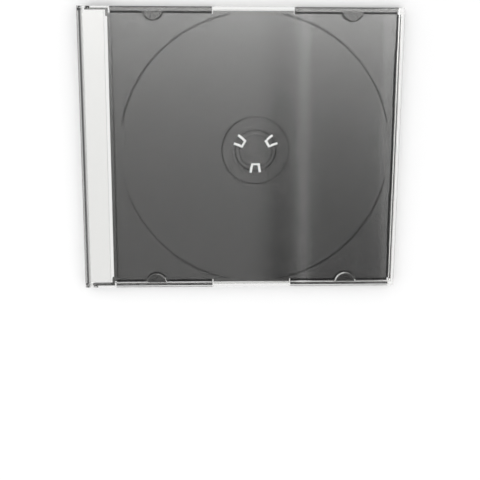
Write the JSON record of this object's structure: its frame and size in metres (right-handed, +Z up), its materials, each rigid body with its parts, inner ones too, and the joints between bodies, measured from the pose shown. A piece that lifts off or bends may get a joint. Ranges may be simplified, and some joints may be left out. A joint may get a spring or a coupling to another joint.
{
  "type": "slim disc case",
  "caption": "Slim clear-lidded storage case for one optical disc, with a black tray, a sprung centre hub and a lid that folds flat.",
  "frame": {"origin": "middle of the closed case's back face, on the surface it lies on", "axes": "+X from the spine to the opening side, +Y across the case, +Z up out of the lid's face"},
  "size_m": [0.142, 0.125, 0.0052],
  "materials": {
    "lid": "clear polished",
    "tray": "polished black"
  },
  "bodies": {
    "tray": {"tray": "tray"},
    "lid": {"lid": "lid"}
  },
  "joints": [
    {"name": "lid_hinge", "type": "hinge", "parent": "tray", "child": "lid", "pos_m": [-0.0665, 0, 0.0026], "axis": [0, -1, 0], "range_deg": [0, 180]}
  ]
}
